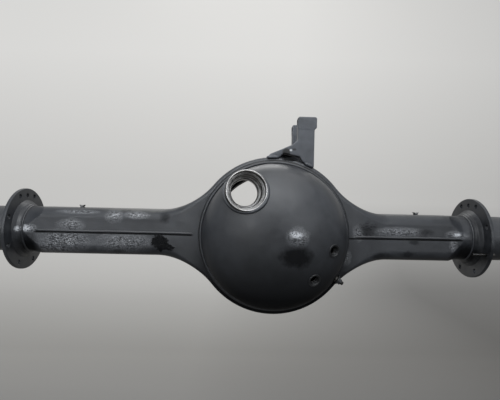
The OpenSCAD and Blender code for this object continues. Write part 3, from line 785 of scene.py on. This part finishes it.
PAINT_DARK, PAINT_LIGHT = (0.0135, 0.0148, 0.0172), (0.025, 0.027, 0.031)
# The near-black colour on this line serves dark marks and painted shade alike; the pale colours on the next line are
# a painted sheen and painted glints
NO_LIGHT, SOOT_AND_SHADE, DUST = (0.0, 0.0, 0.0, 1), (0.004, 0.0042, 0.0046, 1), (0.07, 0.07, 0.068, 1)
PAINTED_SHEEN, GLINT, GLINT_DOT = (0.2, 0.207, 0.222, 1), (0.42, 0.43, 0.45, 1), (0.42, 0.43, 0.44, 1)
TURNING = {"X": (2600, 6, 6), "Y": (6, 2600, 6)}

# Spots on the rear faces: x, z, half width and half height in millimetres
# Gloss spots: glossier paint whose colour is lightened as a painted sheen
GLOSS_AND_SHEEN_SPOTS = [(-580, 17, 28, 13), (-596, -29, 59, 23), (-458, 46, 17, 14), (-396, 50, 24, 9), (-428, -30, 60, 20),
          (-695, 5, 13, 10), (-622, -47, 40, 13), (-561, 56, 40, 4), (242, 12, 12, 16), (367, 17, 50, 10),
          (532, 11, 22, 10), (526, -22, 9, 14), (50, 8, 21, 18), (209, -58, 10, 16)]
FLECKED = GLOSS_AND_SHEEN_SPOTS + [(268, 22, 27, 21), (54, -4, 23, 16)]
# Dark blots in the paint; the last spot, on the bowl's top under the bracket's arch, is a painted shadow
BLOTS_AND_ARCH_SHADOW = [(-325, -27, 27, 23), (-306, -39, 24, 10), (46, 220, 27, 6)]
SHADED = [(48, -44, 46, 32), (36, -32, 28, 14), (-704, -46, 26, 32), (572, -46, 44, 34)]
# Dark smudges, partly marks in the paint and partly painted shade on the arms' lower bevels and by the right hub
SMUDGES_AND_SHADE = [(-312, 44, 12, 13), (266, 21, 26, 17), (440, 17, 20, 8), (310, -53, 30, 8), (409, -12, 14, 6),
           (392, -47, 20, 8), (-445, -54, 20, 8), (591, 20, 13, 45)]
# Faint painted shade on the left arm's lower half and the middle of the dome
FAINT_SHADE = [(-370, -45, 130, 22), (-50, 10, 85, 70)]
GLINTS = [(-708, 5, 11, 8), (-727, 5, 5, 7), (536, 13, 10, 4), (46, 15, 14, 7)]
EAR_DIRT = [(30, 241, 11, 9), (52, 248, 6, 3)]
# A painted glint on the bracket's ear
EAR_GLINT = [(43, 246, 3.5, 3)]
BORES = [(at[0, 3], at[2, 3], 12.4, 12.8) for at in (FILL, SENSOR)]


def wear(tree, coords, pebble, colour, rough, height, dust):
    """Gloss with a painted sheen, dark blots, smudges, painted glints, dust, and painted shade and shadow, worked
    into the housing's paint.
    """
    x, _y, z = xyz(tree, coords)
    out = maths(tree, "ABSOLUTE", x)
    wander = maths(tree, "SUBTRACT", noise(tree, coords, 60.0, 4.0, 0.65), 0.5)

    def spotted(spots, ragged, edge):
        return patch_mask(tree, coords, times(tree, wander, ragged), spots, edge)

    slanted = put(tree, "ShaderNodeMapping", {"Vector": coords, "Rotation": (0.0, 0.7, 0.0),
                                              "Scale": (105.0, 105.0, 250.0)}).outputs[0]
    marks = spread(tree, noise(tree, slanted, 1.0, 4.0, 0.6), 0.46, 0.56)
    flecks = times(tree, spotted(FLECKED, 1.6, 0.3), marks)
    gloss_and_sheen, blots_and_shadow = spotted(GLOSS_AND_SHEEN_SPOTS, 1.1, 0.7), spotted(BLOTS_AND_ARCH_SHADOW, 1.8, 0.12)
    wet = most(tree, gloss_and_sheen, blots_and_shadow)
    # Darker and rougher towards the bottom of the bowl: painted shade
    lower_shade = times(tree, spread(tree, z, 0.03, -0.16, 0.0, 0.96), spread(tree, out, 0.28, 0.20))
    # Dark marks and painted shade, all mixed towards the near-black colour
    black = most(tree, blots_and_shadow, times(tree, flecks, 0.75), times(tree, spotted(SHADED, 1.0, 0.5), 0.95),
                 times(tree, spotted(SMUDGES_AND_SHADE, 2.0, 0.5), 0.6), times(tree, spotted(FAINT_SHADE, 1.0, 0.6), 0.3),
                 lower_shade, seam_shadow_line(tree, coords), toe_shade_ring(tree, coords, 205.2, 2.2),
                 toe_shade_ring(tree, coords, 214.2, 2.4))
    # The gloss spots' colour is lightened in a pebbled pattern as a painted sheen
    painted_sparkle = times(tree, gloss_and_sheen, spread(tree, pebble, 0.40, 0.60, 0.1, 1.0))
    # Pale pebbled spots: painted glints
    glints = times(tree, spotted(GLINTS, 1.4, 0.5), spread(tree, pebble, 0.36, 0.5))
    colour = between(tree, times(tree, painted_sparkle, 0.75), colour, PAINTED_SHEEN)
    colour = between(tree, black, colour, SOOT_AND_SHADE)
    colour = between(tree, times(tree, glints, 0.9), colour, GLINT)
    rough = maths(tree, "SUBTRACT", plus(tree, rough, times(tree, lower_shade, 0.35)), times(tree, wet, 0.22))
    crest = times(tree, spread(tree, z, 0.025, 0.05), spread(tree, out, 0.25, 0.32))
    plain = spread(tree, crest, 0.0, 1.0, 0.5, 0.3)
    shine = times(tree, plus(tree, times(tree, gloss_and_sheen, 0.5), plain), spread(tree, black, 0.0, 1.0, 1.0, 0.12))
    height = plus(tree, height, times(tree, times(tree, pebble, 1.1), wet))
    strip = times(tree, spread(tree, x, -0.50, -0.44), spread(tree, x, -0.16, -0.22))
    dust = times(tree, dust, spread(tree, strip, 0.0, 1.0, 0.35, 1.6))
    return colour, rough, shine, height, dust


def black_paint(name, worn=True, tone_up=1.0, marked_and_glinted=False, shaded_bores=False):
    """Charcoal paint laid on thick over pitted steel."""
    mat, tree, bsdf, coords = new_material(name)
    mottle = noise(tree, coords, 38.0, 5.0, 0.62)
    pebble = noise(tree, coords, 270.0, 3.0, 0.6)
    tone = plus(tree, times(tree, noise(tree, coords, 7.0, 3.0), 0.6), times(tree, mottle, 0.4))
    dark, light = [tuple(c * tone_up for c in paint) + (1.0,) for paint in (PAINT_DARK, PAINT_LIGHT)]
    colour = between(tree, spread(tree, tone, 0.38, 0.62), dark, light)
    rough = spread(tree, mottle, 0.35, 0.65, 0.36, 0.48)
    shine = 0.5
    height = plus(tree, times(tree, pebble, 0.12), times(tree, noise(tree, coords, 24.0, 1.0), 0.9))
    upward = xyz(tree, put(tree, "ShaderNodeNewGeometry").outputs["Normal"])[2]
    dust = times(tree, spread(tree, upward, 0.6, 0.98), spread(tree, mottle, 0.3, 0.6, 0.3, 0.9))
    if worn:
        colour, rough, shine, height, dust = wear(tree, coords, pebble, colour, rough, height, dust)
    else:
        # Painted shade where the cover weld meets the dome and the bowl
        toe_shade = most(tree, toe_shade_ring(tree, coords, 205.0, 2.6), toe_shade_ring(tree, coords, 214.0, 2.6))
        colour = between(tree, times(tree, toe_shade, 0.85), colour, SOOT_AND_SHADE)
    if marked_and_glinted:
        wander = times(tree, maths(tree, "SUBTRACT", noise(tree, coords, 120.0, 4.0, 0.65), 0.5), 1.8)
        colour = between(tree, patch_mask(tree, coords, wander, EAR_DIRT, 0.2), colour, SOOT_AND_SHADE)
        # A pale dot on the bracket: a painted glint
        colour = between(tree, patch_mask(tree, coords, wander, EAR_GLINT, 0.3), colour, GLINT_DOT)
    if shaded_bores:
        # Inside the bosses' bores: painted shade, darker and with little shine
        inside = times(tree, patch_mask(tree, coords, 0.0, BORES, 0.08), 0.6)
        colour = between(tree, inside, colour, SOOT_AND_SHADE)
        shine = spread(tree, inside, 0.0, 1.0, shine, 0.04)
    lay_on(tree, bsdf, {"Base Color": between(tree, dust, colour, DUST), "Roughness": rough,
                        "Specular IOR Level": shine, "Normal": bumped(tree, 0.6, 0.0014, height)})
    return mat


def turned_steel(name, axis, tone, stain, mouth=None):
    """Bare steel with fine turning marks about an axis, dulled by handling. Bores behind a mouth are painted dark as
    painted shade, their walls darker than their step faces.
    """
    mat, tree, bsdf, coords = new_material(name)
    mottle = noise(tree, coords, 42.0, 5.0, 0.6)
    lines = noise(tree, vector_maths(tree, "MULTIPLY", coords, TURNING[axis]), 1.0, 2.0)
    steel = between(tree, lines, steel_grey(tone * 0.8), steel_grey(tone))
    steel = between(tree, spread(tree, mottle, 0.46, 0.66, 0.0, stain), steel, (0.10, 0.09, 0.08, 1))
    if mouth is not None:
        face, way = mouth
        level = float(np.dot(face, way))
        # Painted shade in the bore: dark away from the mouth, the walls darker than faces along the axis
        normal = put(tree, "ShaderNodeNewGeometry").outputs["Normal"]
        facing = maths(tree, "ABSOLUTE", vector_maths(tree, "DOT_PRODUCT", normal, way))
        lip = spread(tree, vector_maths(tree, "DOT_PRODUCT", coords, way), level - 0.004, level - 0.002)
        clear = most(tree, lip, spread(tree, facing, 0.35, 0.85, 0.16, 0.5))
        steel = between(tree, clear, NO_LIGHT, steel)
    lay_on(tree, bsdf, {"Base Color": steel, "Roughness": spread(tree, mottle, 0.3, 0.7, 0.24, 0.46),
                        "Metallic": 1.0, "Normal": bumped(tree, 0.25, 0.0002, lines)})
    return mat


def spindle_finish(name):
    """Painted base, bare turned journals."""
    mat, tree, bsdf, coords = new_material(name)
    mottle = noise(tree, coords, 40.0, 5.0, 0.6)
    pebble = noise(tree, coords, 190.0, 3.0, 0.6)
    ragged = plus(tree, xyz(tree, coords)[0], times(tree, maths(tree, "SUBTRACT", mottle, 0.5), 0.012))
    bare = most(tree, spread(tree, ragged, -0.8315, -0.8335), spread(tree, ragged, 0.6975, 0.6995))
    lines = noise(tree, vector_maths(tree, "MULTIPLY", coords, TURNING["X"]), 1.0, 2.0)
    steel = between(tree, spread(tree, mottle, 0.42, 0.66, 0.0, 0.5), steel_grey(0.40), (0.12, 0.10, 0.085, 1))
    paint = between(tree, mottle, (0.015, 0.0162, 0.0185, 1), (0.028, 0.030, 0.034, 1))
    height = plus(tree, times(tree, pebble, maths(tree, "SUBTRACT", 1.0, bare)),
                  times(tree, lines, times(tree, bare, 0.15)))
    lay_on(tree, bsdf, {"Base Color": between(tree, bare, paint, steel), "Metallic": bare,
                        "Roughness": spread(tree, mottle, 0.3, 0.7, 0.32, 0.5),
                        "Normal": bumped(tree, 0.4, 0.001, height)})
    return mat


def dull_zinc(name):
    mat, tree, bsdf, coords = new_material(name)
    mottle = noise(tree, coords, 160.0, 4.0, 0.6)
    zinc = between(tree, mottle, (0.03, 0.029, 0.027, 1), (0.075, 0.072, 0.068, 1))
    lay_on(tree, bsdf, {"Base Color": zinc, "Roughness": spread(tree, mottle, 0.3, 0.7, 0.32, 0.52),
                        "Metallic": 0.85})
    return mat


HOUSING_PAINT = black_paint("housing paint")
BRACKET_PAINT = black_paint("bracket paint", worn=False, tone_up=2.4, marked_and_glinted=True)
WELD_PAINT = black_paint("weld paint", worn=False)
RING_WELD = black_paint("ring weld paint", worn=False, tone_up=1.7)
FITTING_BLACK = black_paint("fitting black", worn=False, tone_up=0.7)
BOSS_PAINT = black_paint("boss paint", worn=False, tone_up=0.35, shaded_bores=True)
OUTPUT_MOUTH = (OUTPUT @ (0, 0, OUTPUT_LEN, 1))[:3] * MM, OUTPUT[:3, 2]
RING_STEEL = turned_steel("output ring steel", "Y", 0.52, 0.5, OUTPUT_MOUTH)
CARRIER_STEEL = turned_steel("carrier ring steel", "Y", 0.40, 0.5)
SPINDLE_STEEL = spindle_finish("spindle steel")
STUD_STEEL = turned_steel("stud steel", "X", 0.06, 0.5)
BOLT_ZINC = dull_zinc("bolt zinc")
BEAD, BEAD_INPUT = bead_tree()


def fitted(obj, mat, slot, *nodes):
    obj.data.materials.clear()
    obj.data.materials.append(mat)
    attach(obj, "root")
    if nodes:
        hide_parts(*nodes)


# The housing

fitted(half_shell("upper_half_shell_look", 1), HOUSING_PAINT, "paint", "upper_half_shell")
fitted(half_shell("lower_half_shell_look", -1), HOUSING_PAINT, "paint", "lower_half_shell")
fitted(rear_cover(), HOUSING_PAINT, "paint", "rear_cover_upper_right", "rear_cover_upper_left",
       "rear_cover_lower_left", "rear_cover_bottom_right", "rear_cover_lower_right", "rear_cover_right")
fitted(output_ring(), RING_STEEL, "machined_steel", "output_bearing_ring")
fitted(carrier_ring(), CARRIER_STEEL, "machined_steel", "carrier_ring")
fitted(ring_threads(CARRIER_STEEL), CARRIER_STEEL, "machined_steel")
fitted(spindle("left_spindle_look", LEFT), SPINDLE_STEEL, "spindle_steel", "left_spindle")
fitted(spindle("right_spindle_look", RIGHT), SPINDLE_STEEL, "spindle_steel", "right_spindle")
fitted(brake_flange("left_brake_flange_look", LEFT), HOUSING_PAINT, "paint", "left_brake_flange")
fitted(brake_flange("right_brake_flange_look", RIGHT, STUD_TURN), HOUSING_PAINT, "paint", "right_brake_flange")
fitted(forged_bracket(1.5, 10), BRACKET_PAINT, "paint", "torque_rod_bracket")
fitted(cover_boss("fill_boss_look", FILL), BOSS_PAINT, "paint", "fill_boss")
fitted(cover_boss("sensor_boss_look", SENSOR), BOSS_PAINT, "paint", "sensor_boss")
fitted(eased_copy("left_hose_clip", 0.8), FITTING_BLACK, "fittings", "left_hose_clip")
fitted(eased_copy("right_hose_clip", 0.8), FITTING_BLACK, "fittings", "right_hose_clip")
fitted(eased_copy("hose_tab", 0.7), FITTING_BLACK, "fittings", "hose_tab")
fitted(eased_copy("tab_nut", 0.5), FITTING_BLACK, "fittings", "tab_nut")
fitted(tab_bolt(), BOLT_ZINC, "plated_steel", "tab_bolt")
fitted(flange_stud(), STUD_STEEL, "fittings", "flange_stud")

fitted(bead("cover_weld_look", [ring_path(REAR, COVER_R + 4.6, -0.6, 360)], 6.0, WELD_PAINT), WELD_PAINT,
       "weld_paint", "cover_weld")
fitted(bead("carrier_ring_weld_look", [ring_path(FRONT, RING_RIM + 1.2, 1.6, 360)], 3.8, WELD_PAINT, seed=2.0),
       WELD_PAINT, "weld_paint", "carrier_ring_weld")
fitted(bead("output_ring_weld", [output_weld_path()], 5.2, RING_WELD, seed=3.0), RING_WELD, "weld_paint")
for name, at, seed in (("left_flange_weld", LEFT, 4.0), ("right_flange_weld", RIGHT, 5.0)):
    fitted(bead(name + "_look", [ring_path(at, 67.2, -14.4)], 2.6, WELD_PAINT, ripple=0.06, lumps=0.6, seed=seed),
           WELD_PAINT, "weld_paint", name)
for name, sign, face, front, seed in (("left_rear_seam_weld", -1, LEFT_FACE, False, 6.0),
                                      ("right_rear_seam_weld", 1, RIGHT_FACE, False, 7.0),
                                      ("left_front_seam_weld", -1, LEFT_FACE, True, 8.0),
                                      ("right_front_seam_weld", 1, RIGHT_FACE, True, 9.0)):
    fitted(bead(name + "_look", [seam_path(sign, face, front)], 3.0, WELD_PAINT, closed=False, ripple=0.05,
                lumps=0.8, taper=14.0, seed=seed), WELD_PAINT, "weld_paint", name)
for name, front, seed in (("bracket_rear_weld", False, 10.0), ("bracket_front_weld", True, 11.0)):
    feet = [ear_path(-27, 10, front), ear_path(81.5, 109, front)]
    fitted(bead(name + "_look", feet, 4.6, BRACKET_PAINT, closed=False, taper=8.0, seed=seed), BRACKET_PAINT,
           "weld_paint", name)


# Stage

def backdrop():
    """A pale floor that sweeps up into a wall well behind the housing."""
    low, back, bend = -0.62, 2.6, 0.9
    line = [(-14.0, low)] + [(back - bend + bend * math.sin(t), low + bend - bend * math.cos(t))
                            for t in np.linspace(0, math.pi / 2, 24)] + [(back, 9.0)]
    pts = [(x * 1000, y * 1000, z * 1000) for y, z in line for x in (-14.0, 14.0)]
    faces = [(2 * i, 2 * i + 1, 2 * i + 3, 2 * i + 2) for i in range(len(line) - 1)]
    obj = piece_of("backdrop", pts, faces, 60)
    mat, tree, bsdf, coords = new_material("pale wall")
    x, y, z = xyz(tree, coords)
    ray = put(tree, "ShaderNodeLightPath").outputs
    looked_at = plus(tree, ray["Is Camera Ray"], ray["Is Glossy Ray"])
    seen = maths(tree, "ADD", looked_at, ray["Is Transmission Ray"], True)
    # The wall's glow is painted light and shade: lighter up the wall and further back, darker low down towards the
    # right; the floor's colour is darker in front
    rise = plus(tree, spread(tree, y, 0.6, 2.4, 0.0, 0.5), spread(tree, z, -0.6, 1.5, 0.0, 0.5))
    pale = between(tree, rise, (0.165, 0.162, 0.155, 1), (0.61, 0.607, 0.595, 1))
    low_side = spread(tree, x, -0.3, 1.3, 1.0, 0.42)
    high_side = spread(tree, x, 0.4, 2.6, 1.0, 0.84)
    up_wall = spread(tree, z, -0.6, 0.1)
    side = plus(tree, times(tree, high_side, up_wall),
                times(tree, low_side, maths(tree, "SUBTRACT", 1.0, up_wall)))
    floor = between(tree, spread(tree, y, -0.1, 0.5), (0.05, 0.05, 0.05, 1), (0.13, 0.126, 0.118, 1))
    floor = between(tree, side, NO_LIGHT, floor)
    lay_on(tree, bsdf, {"Base Color": between(tree, seen, (0.03, 0.03, 0.03, 1), floor),
                        "Emission Color": between(tree, side, NO_LIGHT, pale), "Emission Strength": seen,
                        "Roughness": 0.9, "Specular IOR Level": 0.1})
    obj.data.materials.append(mat)


def soft_light(name, at, towards, size, power, tint=(1, 1, 1)):
    data = bpy.data.lights.new(name, "AREA")
    data.shape, data.size, data.size_y = "RECTANGLE", size[0], size[1]
    data.energy, data.color = power, tint
    obj = bpy.data.objects.new(name, data)
    way = Vector(at) - Vector(towards)
    obj.matrix_world = Matrix.Translation(at) @ way.to_track_quat("Z", "Y").to_matrix().to_4x4()
    bpy.context.scene.collection.objects.link(obj)


backdrop()
soft_light("ceiling", (0.1, -0.8, 2.5), (0, -0.15, 0), (3.2, 1.6), 28)
soft_light("front lamp", (0.2, 2.0, 2.8), (0, 0, 0), (2.4, 1.0), 34)
soft_light("window", (-0.2, -2.2, 1.9), (-0.05, -0.15, 0), (3.0, 1.2), 56, (0.94, 0.97, 1.0))
soft_light("left lamp", (-1.3, -2.6, 0.45), (-0.4, -0.15, 0), (1.4, 0.5), 18, (0.94, 0.97, 1.0))
soft_light("right lamp", (1.4, -2.5, 0.4), (0.3, -0.15, 0), (1.1, 0.5), 9, (0.94, 0.97, 1.0))

world = bpy.data.worlds.new("room")
bpy.context.scene.world = world
world.use_nodes = True
sky = world.node_tree
upward = xyz(sky, put(sky, "ShaderNodeTexCoord").outputs["Generated"])[2]
direct = put(sky, "ShaderNodeLightPath").outputs["Is Camera Ray"]
room_light = between(sky, spread(sky, upward, -0.12, 0.3, 0.02, 0.8), NO_LIGHT, (0.86, 0.9, 0.95, 1))
sky.links.new(between(sky, direct, room_light, (0.6, 0.595, 0.58, 1)), sky.nodes["Background"].inputs[0])

camera = bpy.data.cameras.new("camera")
camera.lens, camera.sensor_width, camera.sensor_fit, camera.shift_y = 29.06, 36.0, "HORIZONTAL", 0.001
view = bpy.data.objects.new("camera", camera)
right, ahead, up = (0.999493, -0.021554, 0.023415), (0.021575, 0.999767, -0.000635), (-0.023396, 0.001140, 0.999726)
view.matrix_world = Matrix(((right[0], up[0], -ahead[0], -0.09566), (right[1], up[1], -ahead[1], -1.33274),
                            (right[2], up[2], -ahead[2], 0.100), (0, 0, 0, 1)))
bpy.context.scene.collection.objects.link(view)
bpy.context.scene.camera = view
bpy.context.scene.view_settings.view_transform = "Standard"
